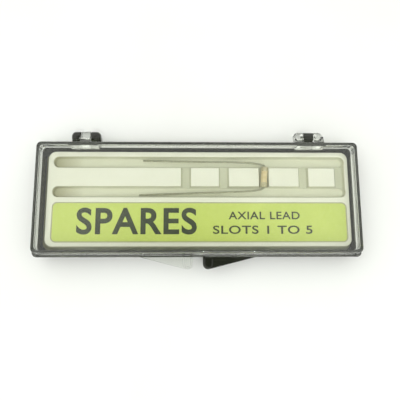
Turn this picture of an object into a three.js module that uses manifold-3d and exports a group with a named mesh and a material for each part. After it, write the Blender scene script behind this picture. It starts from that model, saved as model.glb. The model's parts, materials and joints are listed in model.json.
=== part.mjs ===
// A hinged spares case for axial-lead fuses: a black base, a clear lid, a formed tray with a label,
// and one fuse lying across the tray with its leads bent along two grooves.
// Millimetres, +Z up, the opening side towards -Y, the hinges towards +Y. The origin is under the
// middle of the case, on the face it stands on. Base and lid come out of one mould: the lid is the
// same half turned over about the Y direction, so each half's knuckles meet the other half's.
import * as THREE from "three";
import { mergeVertices } from "three/addons/utils/BufferGeometryUtils.js";
import Module from "manifold-3d";

const wasm = await Module();
wasm.setup();

// Case half
const caseLength = 105; // along X, at the rounded edge of the flat face
const caseDepth = 36.2; // along Y, at the rounded edge of the flat face
const caseHeight = 11.3; // both halves shut
const partingGap = 0.1; // between the two rims
const plate = 1.2; // thickness of the flat face
const cornerRadius = 1.5; // upright corners, in plan
const edgeRadius = 0.5; // round edge of the flat face
const outerDraft = 0.25; // how far a wall leans out from the flat face to the rim
const wallAtRim = 0.97; // wall thickness at the rim, without the bead
const innerDraft = 0.05;
const innerFillet = 0.2;
const beadReach = 0.78; // how far the rim bead stands out of the wall
const beadHeight = 1.0;
const beadRound = 0.25;

// Hinges
const hingeOffset = 37.5; // each hinge's middle from the case's middle
const knuckleRadius = 1.85;
const knuckleClearance = 0.2; // between knuckles and rim beads, and between neighbouring knuckles
const barrelWidth = 3.1;
const earWidth = 3.15;
const earRound = 1.5; // domed outer end of an ear
const pinRadius = 0.7;
const pinLength = 1.0; // out of the barrel's face
const pinClearance = 0.15;
const webFoot = 1.4; // how much further down the wall a knuckle's web reaches than the knuckle
const webRoot = 0.25; // how deep a web runs into the wall
const hingePadWidth = 10.8; // thickened stretch inside the back wall at each hinge
const hingePadDepth = 0.4;
const hingePadSlope = 0.8;

// Thumb tab
const tabStart = 1.6; // blunt end, from the case's middle
const tabLength = 17.3;
const tabThickness = 1.0;
const tabTipRadius = 1.8;
const tabRibWidth = 0.5;
const tabRibRadius = 1.25; // middle line of the U-shaped rib
const tabRibHeight = 0.45;

// Tray
const trayHeight = 2.4;
const traySheet = 0.5;
const traySeat = 0.05; // clearance under the tray
const trayCorner = 2.6;
const trayLip = 0.2; // round top edges
const skirtGap = { left: 0.2, right: 0.2, front: 0.65, back: 0.5 }; // foot of the skirt to the wall
const skirtLean = { left: 1.15, right: 0.2, front: 1.07, back: 0.15 }; // foot to top edge

// Grooves for the leads and slots for the fuses
const grooveDepth = 1.8;
const backGrooveWidth = 3.8;
const frontGrooveWidth = 3.7;
const grooveBackMargin = 1.75; // tray's back edge to the back groove
const grooveLeftMargin = 1.8;
const grooveRightMargin = 1.25;
const slotDepth = 1.3;
const slotPlay = 0.9; // wider than the fuse
const slotShortfall = 0.55; // the fuse's ends reach into both grooves by half of this
const slotsFromRightEnd = [1.8, 14.1, 27.65, 41.2, 54.05]; // slot middles from the grooves' right end
const fuseSlot = 2; // the slot that holds the fuse, counted from the right end
const grooveWallLean = 0.35;
const grooveFillet = 0.4;

// Label
const labelThickness = 0.12;
const labelSeat = 0.02; // adhesive, left empty
const labelPocketDepth = 0.35;
const labelCorner = 1.4;
const labelPlay = 0.35; // label to pocket wall
const pocketLeftMargin = 1.9;
const pocketRightMargin = 1.16;
const pocketFrontMargin = 1.43;
const pocketBackMargin = 1.72; // front groove to pocket

// Fuse
const fuseLength = 7.0;
const fuseDiameter = 2.4;
const fuseTurn = -0.084; // radians; it lies a little askew in its slot
const fuseOffset = 0.1; // from its slot's middle
const fuseSeat = 0.08; // clearance under the fuse
const capLength = 1.5;
const capWall = 0.09;
const capEnd = 0.3;
const capChamfer = 0.15;
const capClearance = 0.03;
const tubeBore = 1.3;
const solderLength = 0.9;
const solderDish = 0.45; // hollow cone in the solder's inner face
const solderClearance = 0.05;
const elementDiameter = 0.16;
const leadDiameter = 0.635;
const leadGap = 0.03; // lead to cap
// Middle line of a lead's sweep from the cap, as points of [along the groove, out from the cap].
const leadSweep = [[0, 0], [0, 0.15], [0.25, 0.48], [0.9, 0.76], [2.9, 1.14], [6.2, 1.45]];
const backLeadReach = 41.15; // fuse to tip, along the groove
const frontLeadReach = 42.25;
const backLeadInGroove = 1.1; // middle line to the groove's back edge, at the tip
const frontLeadInGroove = 0.9; // middle line to the groove's front edge, at the tip

// Places that follow from the sizes
const halfHeight = (caseHeight - partingGap) / 2;
const partingHeight = caseHeight / 2;
const innerLength = caseLength + 2 * (outerDraft - wallAtRim);
const innerDepth = caseDepth + 2 * (outerDraft - wallAtRim);
const rimFront = caseDepth / 2 + outerDraft + beadReach;
const axisY = rimFront + knuckleClearance + knuckleRadius;
const reach = axisY + knuckleRadius; // the hinges at the back and the tabs in front stand out alike
const earStart = barrelWidth / 2 + knuckleClearance;
const trayFoot = plate + traySeat;
const trayTop = trayFoot + trayHeight;
const trayLeft = -innerLength / 2 + innerDraft + skirtGap.left + skirtLean.left;
const trayRight = innerLength / 2 - innerDraft - skirtGap.right - skirtLean.right;
const trayFront = -innerDepth / 2 + innerDraft + skirtGap.front + skirtLean.front;
const trayBack = innerDepth / 2 - innerDraft - skirtGap.back - skirtLean.back;
const grooveLeft = trayLeft + grooveLeftMargin;
const grooveRight = trayRight - grooveRightMargin;
const backGrooveBack = trayBack - grooveBackMargin;
const backGrooveFront = backGrooveBack - backGrooveWidth;
const slotLength = fuseLength - slotShortfall;
const frontGrooveBack = backGrooveFront - slotLength;
const frontGrooveFront = frontGrooveBack - frontGrooveWidth;
const slotWidth = fuseDiameter + slotPlay;
const pocketLeft = trayLeft + pocketLeftMargin;
const pocketRight = trayRight - pocketRightMargin;
const pocketFront = trayFront + pocketFrontMargin;
const pocketBack = frontGrooveFront - pocketBackMargin;
const fuseX = grooveRight - slotsFromRightEnd[fuseSlot] + fuseOffset;
const fuseY = (backGrooveFront + frontGrooveBack) / 2;
const fuseZ = trayTop - slotDepth + fuseSeat + fuseDiameter / 2;
const capRadius = fuseDiameter / 2;
const capInner = capRadius - capWall;
const capTip = fuseLength / 2;
const tubeRadius = capInner - capClearance;
const tubeEnd = capTip - capEnd - capClearance;
const solderInner = tubeEnd - solderLength;

// Manifold solids and three.js geometry
function solid(geometry) {
  const plain = geometry.clone();
  plain.deleteAttribute("normal");
  plain.deleteAttribute("uv");
  const merged = mergeVertices(plain, 1e-4);
  const vertProperties = merged.getAttribute("position").array;
  const triVerts = new Uint32Array(merged.index.array);
  return new wasm.Manifold(new wasm.Mesh({ numProp: 3, vertProperties, triVerts }));
}

function geometryOf(body) {
  const { vertProperties, triVerts } = body.getMesh();
  const geometry = new THREE.BufferGeometry();
  geometry.setAttribute("position", new THREE.BufferAttribute(vertProperties, 3));
  geometry.setIndex(new THREE.BufferAttribute(triVerts, 1));
  geometry.computeVertexNormals();
  return geometry;
}

// Outlines and the solids made from them
const even = (outset) => ({ left: outset, right: outset, front: outset, back: outset });

function roundedRectangle(left, right, front, back, radius) {
  const shape = new THREE.Shape();
  shape.absarc(right - radius, back - radius, radius, 0, Math.PI / 2);
  shape.absarc(left + radius, back - radius, radius, Math.PI / 2, Math.PI);
  shape.absarc(left + radius, front + radius, radius, Math.PI, 1.5 * Math.PI);
  shape.absarc(right - radius, front + radius, radius, 1.5 * Math.PI, 2 * Math.PI);
  return shape;
}

// A rounded rectangle carried upwards. Each level is [height, outset], and at that height each side
// stands its outset outside the drawn rectangle. Corners keep their radius; concentric ones grow and
// shrink with the outset, which a nearly half-round end needs.
function tapered({ left, right, front, back, radius }, levels, concentric = false) {
  const outline = roundedRectangle(left, right, front, back, radius);
  const steps = levels.length - 1;
  const settings = { depth: steps, steps, bevelEnabled: false, curveSegments: 4 };
  const geometry = new THREE.ExtrudeGeometry(outline, settings);
  const position = geometry.getAttribute("position");
  // How much of its side's outset a point takes: negative towards the low side.
  const share = (value, low, high) => {
    const straight = THREE.MathUtils.clamp(value, low + radius, high - radius);
    return concentric ? (value - straight) / radius : Math.sign(value - (low + high) / 2);
  };
  for (let i = 0; i < position.count; i += 1) {
    const [height, outset] = levels[Math.round(position.getZ(i))];
    const x = position.getX(i);
    const y = position.getY(i);
    const shareX = share(x, left, right);
    const shareY = share(y, front, back);
    const movedX = x + shareX * (shareX < 0 ? outset.left : outset.right);
    const movedY = y + shareY * (shareY < 0 ? outset.front : outset.back);
    position.setXYZ(i, movedX, movedY, height);
  }
  return solid(geometry);
}

// A closed outline drawn as [y, z] points, carried along X.
function alongX(points, from, to) {
  const shape = new THREE.Shape(points.map(([y, z]) => new THREE.Vector2(y, z)));
  const geometry = new THREE.ExtrudeGeometry(shape, { depth: to - from, bevelEnabled: false });
  const turn = new THREE.Matrix4().makeBasis(
    new THREE.Vector3(0, 1, 0),
    new THREE.Vector3(0, 0, 1),
    new THREE.Vector3(1, 0, 0),
  );
  return solid(geometry.applyMatrix4(turn).translate(from, 0, 0));
}

// A closed outline drawn as [x, z] points, carried along Y.
function alongY(points, from, to) {
  const shape = new THREE.Shape(points.map(([x, z]) => new THREE.Vector2(x, z)));
  const geometry = new THREE.ExtrudeGeometry(shape, { depth: to - from, bevelEnabled: false });
  return solid(geometry.rotateX(Math.PI / 2).translate(0, to, 0));
}

// A turned profile of [distance along the axis, radius] points, with its axis along +X or -X.
function turnedAlongX(profile, side, segments = 32) {
  const points = profile.map(([along, radius]) => new THREE.Vector2(radius, along));
  return solid(new THREE.LatheGeometry(points, segments).rotateZ((-side * Math.PI) / 2));
}

// Points of a quarter round from angle 0 to 90 degrees.
function quarterRound(count) {
  const angles = Array.from({ length: count + 1 }, (_, i) => (i / count) * (Math.PI / 2));
  return angles.map((angle) => [Math.cos(angle), Math.sin(angle)]);
}

// One half of the case, standing on its flat face
function caseWalls() {
  const roundEdge = quarterRound(4).map(([across, up]) => [
    edgeRadius * (1 - up),
    even(edgeRadius * (across - 1)),
  ]);
  const beadFoot = halfHeight - beadHeight;
  const outer = tapered(
    {
      left: -caseLength / 2,
      right: caseLength / 2,
      front: -caseDepth / 2,
      back: caseDepth / 2,
      radius: cornerRadius,
    },
    [
      ...roundEdge.reverse(),
      [beadFoot, even(outerDraft)],
      [beadFoot + beadRound, even(outerDraft + beadReach - beadRound)],
      [beadFoot + 2 * beadRound, even(outerDraft + beadReach)],
      [halfHeight, even(outerDraft + beadReach)],
    ],
  );
  const hollow = tapered(
    {
      left: -innerLength / 2,
      right: innerLength / 2,
      front: -innerDepth / 2,
      back: innerDepth / 2,
      radius: cornerRadius,
    },
    [
      [plate, even(-innerDraft - innerFillet)],
      [plate + innerFillet, even(-innerDraft)],
      [halfHeight + 1, even(0)],
    ],
  );
  return outer.subtract(hollow);
}

function hingePad(x) {
  const face = innerDepth / 2 - hingePadDepth;
  const wallMiddle = innerDepth / 2 + wallAtRim / 2;
  const shape = new THREE.Shape();
  shape.moveTo(x - hingePadWidth / 2, wallMiddle);
  shape.lineTo(x - hingePadWidth / 2, innerDepth / 2 - innerDraft);
  shape.lineTo(x - hingePadWidth / 2 + hingePadSlope, face);
  shape.lineTo(x + hingePadWidth / 2 - hingePadSlope, face);
  shape.lineTo(x + hingePadWidth / 2, innerDepth / 2 - innerDraft);
  shape.lineTo(x + hingePadWidth / 2, wallMiddle);
  const bottom = plate / 2;
  const settings = { depth: halfHeight - bottom, bevelEnabled: false };
  return solid(new THREE.ExtrudeGeometry(shape, settings).translate(0, 0, bottom));
}

// The web that carries a knuckle stays on its own side of the parting plane, short of the axis.
function knuckleWeb(from, to) {
  const wallY = caseDepth / 2 - webRoot;
  const points = [
    [wallY, halfHeight],
    [wallY, partingHeight - knuckleRadius - webFoot],
    [axisY, partingHeight - knuckleRadius],
    [axisY, halfHeight],
  ];
  return alongX(points, from, to);
}

function ear(side) {
  const end = earStart + earWidth;
  const dome = quarterRound(6).map(([out, along]) => [
    end - earRound + earRound * along,
    knuckleRadius - earRound + earRound * out,
  ]);
  const profile = [[earStart, 0], [earStart, knuckleRadius], ...dome, [end, 0]];
  const knuckle = turnedAlongX(profile, side);
  const socketEnd = earStart + pinLength;
  const socketRadius = pinRadius + pinClearance;
  const socketProfile = [
    [0, 0],
    [0, socketRadius],
    [socketEnd, socketRadius],
    [socketEnd, 0],
  ];
  const at = (body) => body.translate([0, axisY, partingHeight]);
  const span = side > 0 ? [earStart, end] : [-end, -earStart];
  return at(knuckle).add(knuckleWeb(...span)).subtract(at(turnedAlongX(socketProfile, side)));
}

function barrel() {
  const half = barrelWidth / 2;
  const body = turnedAlongX([[-half, 0], [-half, knuckleRadius], [half, knuckleRadius], [half, 0]], 1);
  const pinEnd = half + pinLength;
  const pins = turnedAlongX([[-pinEnd, 0], [-pinEnd, pinRadius], [pinEnd, pinRadius], [pinEnd, 0]], 1);
  return body.add(pins).translate([0, axisY, partingHeight]).add(knuckleWeb(-half, half));
}

function thumbTab() {
  const tipX = tabStart + tabTipRadius;
  const tipY = -reach + tabTipRadius;
  const rootY = -rimFront + beadReach / 2;
  const endX = tabStart + tabLength;
  // The long edge runs from the rim at the tab's far end and meets the round tip as a tangent.
  const toEnd = new THREE.Vector2(endX - tipX, -rimFront - tipY);
  const tangent = toEnd.angle() - Math.acos(tabTipRadius / toEnd.length());
  const plan = new THREE.Shape();
  plan.moveTo(tabStart, rootY);
  plan.lineTo(tabStart, tipY);
  plan.absarc(tipX, tipY, tabTipRadius, Math.PI, tangent);
  plan.lineTo(endX, -rimFront);
  plan.lineTo(endX, rootY);
  const settings = { depth: tabThickness, bevelEnabled: false, curveSegments: 5 };
  const flat = new THREE.ExtrudeGeometry(plan, settings).translate(0, 0, halfHeight - tabThickness);
  const outerRadius = tabRibRadius + tabRibWidth / 2;
  const innerRadius = tabRibRadius - tabRibWidth / 2;
  const legEnd = -rimFront - knuckleClearance;
  const rib = new THREE.Shape();
  rib.moveTo(tipX - outerRadius, legEnd);
  rib.lineTo(tipX - outerRadius, tipY);
  rib.absarc(tipX, tipY, outerRadius, Math.PI, 2 * Math.PI);
  rib.lineTo(tipX + outerRadius, legEnd);
  rib.lineTo(tipX + innerRadius, legEnd);
  rib.absarc(tipX, tipY, innerRadius, 2 * Math.PI, Math.PI, true);
  rib.lineTo(tipX - innerRadius, legEnd);
  const ribSettings = { depth: tabRibHeight + tabThickness / 2, bevelEnabled: false, curveSegments: 5 };
  const raised = new THREE.ExtrudeGeometry(rib, ribSettings);
  return solid(flat).add(solid(raised.translate(0, 0, halfHeight - tabThickness / 2)));
}

function caseHalf() {
  const ears = ear(-1).add(ear(1)).translate([-hingeOffset, 0, 0]);
  return caseWalls()
    .add(hingePad(-hingeOffset))
    .add(hingePad(hingeOffset))
    .add(ears)
    .add(barrel().translate([hingeOffset, 0, 0]))
    .add(thumbTab());
}

// Tray: a formed sheet, open underneath. A recess is drawn by its edges at the tray's top face, and
// the same recess grown by the sheet gives the skin under it.
function recess({ left, right, front, back, radius, depth }, skin) {
  const floor = trayTop - depth;
  const flat = grooveWallLean + grooveFillet;
  const under = [
    [floor - skin, even(skin - flat)],
    [floor - skin + grooveFillet, even(skin - grooveWallLean)],
    [trayTop, even(skin)],
  ];
  const cut = [
    ...quarterRound(2).map(([across, up]) => [
      floor + grooveFillet * (1 - across),
      even(-grooveWallLean - grooveFillet * (1 - up)),
    ]),
    [trayTop - trayLip, even(0)],
    [trayTop, even(trayLip)],
    [trayTop + 1, even(trayLip)],
  ];
  return tapered({ left, right, front, back, radius }, skin > 0 ? under : cut, true);
}

function slotCut(middle, skin) {
  const half = slotWidth / 2 + skin;
  const floor = trayTop - slotDepth - skin;
  const lip = skin > 0 ? 0 : trayLip;
  const top = trayTop + (skin > 0 ? traySheet : 1);
  const right = [
    [half - grooveWallLean - grooveFillet, floor],
    [half - grooveWallLean, floor + grooveFillet],
    [half, trayTop - trayLip],
    [half + lip, trayTop],
    [half + lip, top],
  ];
  const left = right.map(([x, z]) => [-x, z]).reverse();
  const points = [...right, ...left].map(([x, z]) => [middle + x, z]);
  const intoGroove = backGrooveWidth / 2;
  return alongY(points, frontGrooveBack - intoGroove, backGrooveFront + intoGroove);
}

function trayRecesses(skin) {
  const ends = { left: grooveLeft, right: grooveRight, depth: grooveDepth };
  const backRadius = backGrooveWidth / 2 - trayLip;
  const frontRadius = frontGrooveWidth / 2 - trayLip;
  const grooves = [
    { ...ends, front: backGrooveFront, back: backGrooveBack, radius: backRadius },
    { ...ends, front: frontGrooveFront, back: frontGrooveBack, radius: frontRadius },
  ];
  const slots = slotsFromRightEnd.map((fromEnd) => slotCut(grooveRight - fromEnd, skin));
  return [...grooves.map((groove) => recess(groove, skin)), ...slots];
}

function trayBody() {
  const top = { left: trayLeft, right: trayRight, front: trayFront, back: trayBack, radius: trayCorner };
  const inset = (sides) =>
    Object.fromEntries(Object.entries(sides).map(([side, value]) => [side, value - traySheet]));
  const skirt = tapered(top, [
    [trayFoot, skirtLean],
    [trayTop - trayLip, even(0)],
    [trayTop, even(-trayLip)],
  ]);
  let hollow = tapered(top, [
    [trayFoot - 1, inset(skirtLean)],
    [trayFoot, inset(skirtLean)],
    [trayTop - traySheet - trayLip, inset(even(0))],
    [trayTop - traySheet, inset(even(-trayLip))],
  ]);
  for (const skin of trayRecesses(traySheet)) {
    hollow = hollow.subtract(skin);
  }
  let body = skirt.subtract(hollow);
  for (const cut of trayRecesses(0)) {
    body = body.subtract(cut);
  }
  const pocket = tapered(
    {
      left: pocketLeft,
      right: pocketRight,
      front: pocketFront,
      back: pocketBack,
      radius: labelCorner + labelPlay,
    },
    [
      [trayTop - labelPocketDepth, even(0)],
      [trayTop + 1, even(0)],
    ],
  );
  return body.subtract(pocket);
}

function labelBody() {
  const bottom = trayTop - labelPocketDepth + labelSeat;
  return tapered(
    {
      left: pocketLeft + labelPlay,
      right: pocketRight - labelPlay,
      front: pocketFront + labelPlay,
      back: pocketBack - labelPlay,
      radius: labelCorner,
    },
    [
      [bottom, even(0)],
      [bottom + labelThickness, even(0)],
    ],
  );
}

// Fuse pieces, turned about the Y axis of the fuse's own group
function turned(profile) {
  const points = profile.map(([radius, along]) => new THREE.Vector2(radius, along));
  return new THREE.LatheGeometry(points, 24);
}

function tubeGeometry() {
  const bore = tubeBore / 2;
  return turned([
    [bore, -tubeEnd],
    [tubeRadius, -tubeEnd],
    [tubeRadius, tubeEnd],
    [bore, tubeEnd],
    [bore, -tubeEnd],
  ]);
}

function capGeometry() {
  return turned([
    [0, capTip - capEnd],
    [capInner, capTip - capEnd],
    [capInner, capTip - capLength],
    [capRadius, capTip - capLength],
    [capRadius, capTip - capChamfer],
    [capRadius - capChamfer, capTip],
    [0, capTip],
  ]);
}

function solderGeometry() {
  const radius = tubeBore / 2 - solderClearance;
  return turned([
    [0, solderInner + solderDish],
    [radius, solderInner],
    [radius, tubeEnd],
    [0, tubeEnd],
  ]);
}

function elementGeometry() {
  const radius = elementDiameter / 2;
  const end = solderInner + solderDish - solderClearance;
  return turned([
    [0, -end],
    [radius, -end],
    [radius, end],
    [0, end],
  ]);
}

// A lead starts at the middle of a cap, sweeps round towards -X, and runs down its groove until its
// tip rests on the groove's floor. `side` is +1 for the back lead and -1 for the front one.
function leadGeometry(side, leadReach, tipY) {
  const turn = new THREE.Vector2(-Math.sin(fuseTurn), Math.cos(fuseTurn)).multiplyScalar(side);
  const start = turn.clone().multiplyScalar(capTip + leadGap);
  const sweep = leadSweep.map(
    ([along, out]) =>
      new THREE.Vector3(
        fuseX + start.x + turn.x * out - along,
        fuseY + start.y + turn.y * out,
        fuseZ,
      ),
  );
  const tipZ = trayTop - grooveDepth + leadDiameter / 2 + fuseSeat;
  const tip = new THREE.Vector3(fuseX - leadReach, tipY, tipZ);
  const middle = sweep.at(-1).clone().lerp(tip, 0.5);
  const points = [...sweep, middle, tip];
  const path = new THREE.CatmullRomCurve3(points, false, "centripetal");
  const section = new THREE.Shape().absarc(0, 0, leadDiameter / 2, 0, 2 * Math.PI);
  const settings = { extrudePath: path, steps: 40, curveSegments: 4, bevelEnabled: false };
  return new THREE.ExtrudeGeometry(section, settings);
}

// Colours and surfaces
const surfaces = {
  base: { color: "#1b1d1a", roughness: 0.25, metalness: 0 },
  lid: { color: "#dfe3dc", roughness: 0.05, metalness: 0, transparent: true, opacity: 0.3 },
  tray: { color: "#e8e6d0", roughness: 0.55, metalness: 0 },
  label: { color: "#ccda7e", roughness: 0.6, metalness: 0 },
  tube: { color: "#cdb98c", roughness: 0.4, metalness: 0 },
  tin: { color: "#b9b7ae", roughness: 0.35, metalness: 1 },
  solder: { color: "#a9a9a6", roughness: 0.45, metalness: 1 },
  wire: { color: "#c8c4ba", roughness: 0.3, metalness: 1 },
};

function piece(name, geometry, surface) {
  const mesh = new THREE.Mesh(geometry, new THREE.MeshStandardMaterial(surfaces[surface]));
  mesh.name = name;
  return mesh;
}

// Assembly
const caseGeometry = geometryOf(caseHalf());

const base = new THREE.Group();
base.add(piece("base_shell", caseGeometry, "base"));
base.add(piece("insert_tray", geometryOf(trayBody()), "tray"));
base.add(piece("label", geometryOf(labelBody()), "label"));

const lid = new THREE.Group();
lid.position.set(0, 0, caseHeight);
lid.rotation.y = Math.PI;
lid.add(piece("lid_shell", caseGeometry, "lid"));

const fuse = new THREE.Group();
fuse.position.set(fuseX, fuseY, fuseZ);
fuse.rotation.z = fuseTurn;
fuse.add(piece("fuse_tube", tubeGeometry(), "tube"));
fuse.add(piece("fuse_element", elementGeometry(), "wire"));
fuse.add(piece("fuse_cap_back", capGeometry(), "tin"));
fuse.add(piece("fuse_cap_front", capGeometry().rotateZ(Math.PI), "tin"));
fuse.add(piece("solder_back", solderGeometry(), "solder"));
fuse.add(piece("solder_front", solderGeometry().rotateZ(Math.PI), "solder"));

const leads = new THREE.Group();
const backTipY = backGrooveBack - backLeadInGroove;
const frontTipY = frontGrooveFront + frontLeadInGroove;
leads.add(piece("lead_back", leadGeometry(1, backLeadReach, backTipY), "tin"));
leads.add(piece("lead_front", leadGeometry(-1, frontLeadReach, frontTipY), "tin"));

const group = new THREE.Group();
group.add(base, lid, fuse, leads);

export default group;
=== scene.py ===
# %% [markdown]
# # A hinged case for spare fuses
# The real object is a slim polystyrene box. Its base is black and its lid clear, and both halves come
# out of one mould. Inside lies a formed cream tray with two long grooves and five short slots between
# them, a green label in a shallow pocket, and one fuse whose wire leads lie in the grooves.
#
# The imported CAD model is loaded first. It settles where everything is and how it moves. The shown
# pieces are then modelled over it, because the CAD solids are plain and have no fine edges.

import json
import math

import bmesh
import bpy
from mathutils import Matrix, Quaternion, Vector


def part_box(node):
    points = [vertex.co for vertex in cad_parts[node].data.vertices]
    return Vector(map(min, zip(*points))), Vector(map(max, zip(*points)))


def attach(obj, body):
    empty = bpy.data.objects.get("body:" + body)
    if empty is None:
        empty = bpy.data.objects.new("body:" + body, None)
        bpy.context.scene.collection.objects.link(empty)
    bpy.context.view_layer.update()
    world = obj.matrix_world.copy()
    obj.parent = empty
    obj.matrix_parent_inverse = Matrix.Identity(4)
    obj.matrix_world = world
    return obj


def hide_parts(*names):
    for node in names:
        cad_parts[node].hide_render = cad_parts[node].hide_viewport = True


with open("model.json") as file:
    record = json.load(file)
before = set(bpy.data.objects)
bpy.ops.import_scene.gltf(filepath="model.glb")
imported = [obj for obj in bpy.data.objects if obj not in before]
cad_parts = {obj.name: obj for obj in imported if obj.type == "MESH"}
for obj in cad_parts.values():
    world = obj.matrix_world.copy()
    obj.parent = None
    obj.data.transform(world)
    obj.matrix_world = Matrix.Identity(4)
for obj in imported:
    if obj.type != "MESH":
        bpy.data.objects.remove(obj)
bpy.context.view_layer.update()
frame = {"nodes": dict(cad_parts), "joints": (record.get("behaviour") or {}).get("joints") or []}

# %% [markdown]
# Small things are easiest to model in millimetres, with one Blender unit for each. A finished piece is
# shrunk to metres at the end. The places come from the CAD nodes' boxes and from the hinge's joint, so
# that the shown pieces can't drift away from the CAD ones.

# %% Places that the frame gives, in millimetres
MM = 0.001


def box_mm(node):
    low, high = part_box(node)
    return low / MM, high / MM


base_low, base_high = box_mm("base_shell")
case_height = box_mm("lid_shell")[1].z
hinge = next(joint for joint in frame["joints"] if joint["name"] == "lid_hinge")
axis_y = hinge["pos_m"][1] / MM
axis_z = hinge["pos_m"][2] / MM
knuckle_radius = base_high.y - axis_y
clearance = 0.2
parting_gap = 0.1
rim_x = base_high.x
rim_y = axis_y - knuckle_radius - clearance
half_height = (case_height - parting_gap) / 2
print("rim", round(rim_x, 2), "by", round(rim_y, 2), "and knuckle radius", round(knuckle_radius, 2))

# %% [markdown]
# ## The camera
# The camera comes first, so that each piece can be looked at as it is made. It hangs almost straight
# above the case, a little to the front and left, and is rolled by a few degrees. Three turns about
# fixed axes would be hard to read. Instead a quaternion looks down the line of sight, and is then
# rolled about that same line.

# %% Camera
CAMERA_AZIMUTH = math.radians(-7.85)
CAMERA_ELEVATION = math.radians(79.565)
CAMERA_ROLL = math.radians(7.791)
AIM = Vector((0.722, -0.28, 5.65)) * MM
AIM_DISTANCE = 156.018 * MM
LENS_MM = 42.3
SENSOR_MM = 36
NEAREST, FARTHEST = 0.005, 20

towards_camera = Vector(
    (
        math.sin(CAMERA_AZIMUTH) * math.cos(CAMERA_ELEVATION),
        -math.cos(CAMERA_AZIMUTH) * math.cos(CAMERA_ELEVATION),
        math.sin(CAMERA_ELEVATION),
    )
)
bpy.ops.object.select_all(action="DESELECT")
bpy.ops.object.camera_add(location=AIM + AIM_DISTANCE * towards_camera)
camera = bpy.context.object
camera.name = "camera"
camera.rotation_mode = "QUATERNION"
look = (-towards_camera).to_track_quat("-Z", "Y")
camera.rotation_quaternion = look @ Quaternion((0, 0, 1), CAMERA_ROLL)
camera.data.lens = LENS_MM
camera.data.sensor_width = SENSOR_MM
camera.data.clip_start = NEAREST
camera.data.clip_end = FARTHEST
bpy.context.scene.camera = camera
print("camera at", [round(1000 * part, 1) for part in camera.location], "mm")

# %% [markdown]
# ## One half of the case
# The mould makes the same half twice: once in black for the base and once in clear for the lid. So it
# is modelled once, standing on its flat face, and copied.
#
# The wall could be a box that is hollowed and then bevelled, but every lean and every lip of the real
# one would need a cut of its own. It is one rounded outline instead, carried from level to level: up
# the outside, over the rim bead and down the inside. Each level is one extrusion and one resize.
#
# Blender's operators act on whatever is selected, so each step first says what that is. These first
# helpers select an object alone, open and leave its edit mode, and close it up at the end.

# %% Working on one piece
MERGE_WITHIN = 0.0005


def alone(piece):
    bpy.ops.object.select_all(action="DESELECT")
    piece.select_set(True)
    bpy.context.view_layer.objects.active = piece
    return piece


def edit(piece):
    alone(piece)
    bpy.ops.object.mode_set(mode="EDIT")
    bpy.ops.mesh.select_mode(type="FACE")
    bpy.ops.mesh.select_all(action="SELECT")


def leave_edit():
    bpy.ops.object.mode_set(mode="OBJECT")
    return bpy.context.object


def close_up(piece):
    """Merges doubled points and turns every face outwards."""
    edit(piece)
    bpy.ops.mesh.remove_doubles(threshold=MERGE_WITHIN)
    bpy.ops.mesh.normals_make_consistent(inside=False)
    return leave_edit()


def tell(title, piece):
    """Prints the piece's box and its number of faces. Returns the two corners of the box."""
    points = [point.co for point in piece.data.vertices]
    low = Vector([min(point[i] for point in points) for i in range(3)])
    high = Vector([max(point[i] for point in points) for i in range(3)])
    size = " x ".join(f"{part:.2f}" for part in high - low)
    print(title, size, "mm,", len(piece.data.polygons), "faces")
    return low, high


# %% An outline, and the levels it is carried through
def outline(sides, radius, height, segments=10):
    """A flat rounded rectangle, left in edit mode with its face selected."""
    left, right, front, back = sides
    bpy.ops.object.select_all(action="DESELECT")
    bpy.ops.mesh.primitive_plane_add(size=1, location=((left + right) / 2, (front + back) / 2, height))
    bpy.context.object.scale = (right - left, back - front, 1)
    bpy.ops.object.transform_apply()
    edit(bpy.context.object)
    if radius:
        bpy.ops.mesh.select_mode(type="VERT")
        bpy.ops.mesh.select_all(action="SELECT")
        bpy.ops.mesh.bevel(offset=radius, segments=segments, affect="VERTICES")
    bpy.ops.mesh.select_mode(type="FACE")
    bpy.ops.mesh.select_all(action="SELECT")
    return bpy.context.object


def carry(sides, height, levels):
    """Extrudes the selected face from level to level. A level is a height and the four sides there."""
    for next_height, next_sides in levels:
        left, right, front, back = sides
        to_left, to_right, to_front, to_back = next_sides
        middle = Vector(((left + right) / 2, (front + back) / 2, next_height))
        to_middle = Vector(((to_left + to_right) / 2, (to_front + to_back) / 2, next_height))
        growth = ((to_right - to_left) / (right - left), (to_back - to_front) / (back - front), 1)
        rise = (0, 0, next_height - height)
        bpy.ops.mesh.extrude_region_move(TRANSFORM_OT_translate={"value": rise})
        bpy.ops.transform.resize(value=growth, center_override=middle)
        bpy.ops.transform.translate(value=to_middle - middle)
        sides, height = next_sides, next_height
    return close_up(leave_edit())


def grown(sides, outset):
    left, right, front, back = sides
    return (left - outset, right + outset, front - outset, back + outset)


def quarter_round(steps):
    angles = [math.pi / 2 * step / steps for step in range(steps + 1)]
    return [(math.cos(angle), math.sin(angle)) for angle in angles]


# %% [markdown]
# The bead doubles the wall where the halves meet and keeps the thin box stiff. The wall leans outwards
# by its draft, so that the half slips out of the mould. Where an edge is too small for an arc to show,
# two short chamfers round it.

# %% Wall of a half
EDGE_ROUND = 0.5
OUTER_DRAFT = 0.25
BEAD_REACH = 0.78
BEAD_FOOT = half_height - 1.0
BEAD_ROUND = 0.25
RIM_ROUND = 0.1
CORNER_RADIUS = 1.5
WALL = 0.97
PLATE = 1.2
INNER_DRAFT = 0.05
INNER_FILLET = 0.25
flat_x = rim_x - OUTER_DRAFT - BEAD_REACH
flat_y = rim_y - OUTER_DRAFT - BEAD_REACH
flat_face = (-flat_x, flat_x, -flat_y, flat_y)


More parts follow.
